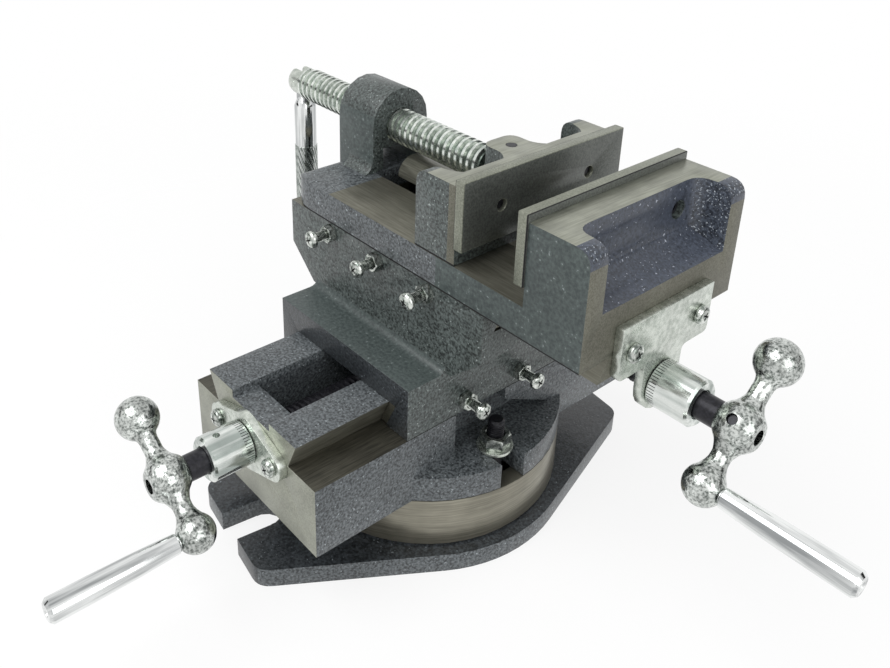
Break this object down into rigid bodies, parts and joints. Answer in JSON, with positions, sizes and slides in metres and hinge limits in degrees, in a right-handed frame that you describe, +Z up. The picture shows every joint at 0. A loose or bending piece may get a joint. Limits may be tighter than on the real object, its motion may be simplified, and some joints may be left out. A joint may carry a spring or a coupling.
{
  "type": "cross slide vise",
  "caption": "Compound cross slide vise for a drill press: swivel base, crossed dovetail slides with ball crank feeds, and a screw vise with ground jaw plates on top.",
  "frame": {"origin": "the swivel axis on the underside of the foot", "axes": "+Z up, +X towards the fixed jaw and the upper crank, -Y towards the lower crank"},
  "size_m": [0.3594, 0.3193, 0.1973],
  "materials": {
    "paint": "dark grey hammered paint over rough castings, slideways bare",
    "iron": "machined cast iron, light film of oil",
    "plate": "ground and darkened hardened steel",
    "zinc": "bright turned steel, thin zinc plating",
    "chrome": "bright plating over smooth castings",
    "black": "black oxide"
  },
  "bodies": {
    "base": {"base": "paint"},
    "lower_slide": {"lower_slide": "paint", "lower_bearing_plate": "zinc", "lower_bearing_screw_left": "zinc", "lower_bearing_screw_right": "zinc", "clamp_bolt_left": "black", "clamp_bolt_right": "black", "clamp_washer_left": "zinc", "clamp_washer_right": "zinc", "clamp_nut_left": "zinc", "clamp_nut_right": "zinc"},
    "lower_crank": {"lower_feed_screw": "black", "lower_dial": "zinc", "lower_crank": "chrome", "lower_crank_pin": "black"},
    "lower_grip": {"lower_grip": "chrome"},
    "saddle": {"saddle": "paint", "upper_gib": "iron", "lower_gib": "iron", "upper_gib_screw_1": "zinc", "upper_gib_screw_2": "zinc", "upper_gib_screw_3": "zinc", "upper_gib_nut_1": "zinc", "upper_gib_nut_2": "zinc", "upper_gib_nut_3": "zinc", "lower_gib_screw_1": "zinc", "lower_gib_screw_2": "zinc", "lower_gib_screw_3": "zinc", "lower_gib_nut_1": "zinc", "lower_gib_nut_2": "zinc", "lower_gib_nut_3": "zinc", "upper_feed_nut": "iron", "lower_feed_nut": "iron"},
    "vise_body": {"vise_body": "paint", "fixed_jaw_plate": "plate", "fixed_plate_screw_near": "black", "fixed_plate_screw_far": "black", "upper_bearing_plate": "zinc", "upper_bearing_screw_near": "zinc", "upper_bearing_screw_far": "zinc"},
    "upper_crank": {"upper_feed_screw": "black", "upper_dial": "zinc", "upper_crank": "chrome", "upper_crank_pin": "black"},
    "upper_grip": {"upper_grip": "chrome"},
    "movable_jaw": {"movable_jaw": "paint", "movable_jaw_plate": "plate", "movable_plate_screw_near": "black", "movable_plate_screw_far": "black", "jaw_keeper": "iron", "keeper_screw_front": "black", "keeper_screw_rear": "black", "retaining_pin": "black"},
    "vise_screw": {"vise_screw": "zinc", "handle_pin": "zinc"},
    "screw_handle": {"screw_handle": "chrome"}
  },
  "joints": [
    {"name": "swivel", "type": "hinge", "parent": "base", "child": "lower_slide", "pos_m": [0, 0, 0.037], "axis": [0, 0, 1], "continuous": true},
    {"name": "lower_feed", "type": "slide", "parent": "lower_slide", "child": "saddle", "axis": [0, 1, 0], "range_m": [-0.045, 0.03]},
    {"name": "upper_feed", "type": "slide", "parent": "saddle", "child": "vise_body", "axis": [1, 0, 0], "range_m": [-0.042, 0.038]},
    {"name": "jaw_slide", "type": "slide", "parent": "vise_body", "child": "movable_jaw", "axis": [1, 0, 0], "range_m": [-0.055, 0.029]},
    {"name": "lower_crank_turn", "type": "hinge", "parent": "lower_slide", "child": "lower_crank", "pos_m": [0, -0.103, 0.0703], "axis": [0, -1, 0], "continuous": true},
    {"name": "lower_grip_spin", "type": "hinge", "parent": "lower_crank", "child": "lower_grip", "pos_m": [0.02212, -0.179, 0.05664], "axis": [0, -1, 0], "continuous": true},
    {"name": "upper_crank_turn", "type": "hinge", "parent": "vise_body", "child": "upper_crank", "pos_m": [0.121, 0.0166, 0.1178], "axis": [1, 0, 0], "continuous": true},
    {"name": "upper_grip_spin", "type": "hinge", "parent": "upper_crank", "child": "upper_grip", "pos_m": [0.198, -0.00223, 0.09987], "axis": [1, 0, 0], "continuous": true},
    {"name": "vise_screw_turn", "type": "hinge", "parent": "movable_jaw", "child": "vise_screw", "pos_m": [0.027, 0.0166, 0.1778], "axis": [1, 0, 0], "continuous": true},
    {"name": "handle_swing", "type": "hinge", "parent": "vise_screw", "child": "screw_handle", "pos_m": [-0.12815, 0.0166, 0.1778], "axis": [0, 1, 0], "range_deg": [-8, 85]}
  ],
  "couplings": [
    {"joint": "lower_crank_turn", "follows": "lower_feed", "rad_per_m": 2094.4},
    {"joint": "upper_crank_turn", "follows": "upper_feed", "rad_per_m": 2094.4},
    {"joint": "vise_screw_turn", "follows": "jaw_slide", "rad_per_m": 1570.8}
  ]
}
